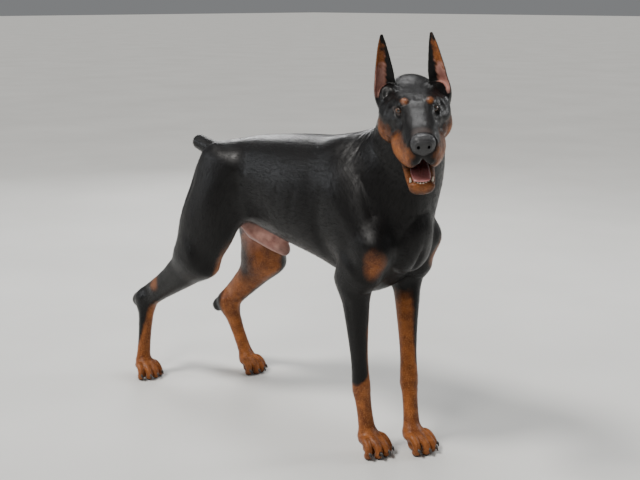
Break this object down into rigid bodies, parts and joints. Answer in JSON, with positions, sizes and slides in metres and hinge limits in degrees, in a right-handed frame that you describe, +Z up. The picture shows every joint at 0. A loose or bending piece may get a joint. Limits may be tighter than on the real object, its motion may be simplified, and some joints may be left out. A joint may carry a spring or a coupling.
{
  "type": "doberman pinscher",
  "caption": "Still life-size doberman pinscher standing, head turned to its right with open mouth, upright cropped ears and docked tail.",
  "frame": {"origin": "on the floor under the middle of the model's box", "axes": "+X to the dog's front, +Y to its left, +Z up"},
  "size_m": [1.1354, 0.3981, 0.9385],
  "materials": {
    "black_coat": "short glossy fur",
    "rust_coat": "short fur",
    "nose_skin": "moist pebbled skin",
    "tongue_flesh": "moist",
    "eye": "wet gloss"
  },
  "bodies": {
    "root": {"torso": "black_coat", "neck": "black_coat", "tail": "black_coat", "head": "black_coat", "ear_left": "black_coat", "ear_right": "black_coat", "shoulder_left": "black_coat", "shoulder_right": "black_coat", "thigh_left": "black_coat", "thigh_right": "black_coat", "front_leg_left": "rust_coat", "front_leg_right": "rust_coat", "hind_leg_left": "rust_coat", "hind_leg_right": "rust_coat", "front_paw_left": "rust_coat", "front_paw_right": "rust_coat", "hind_paw_left": "rust_coat", "hind_paw_right": "rust_coat", "lower_jaw": "rust_coat", "nose_pad": "nose_skin", "tongue": "tongue_flesh", "eye_left": "eye", "eye_right": "eye"}
  },
  "joints": []
}
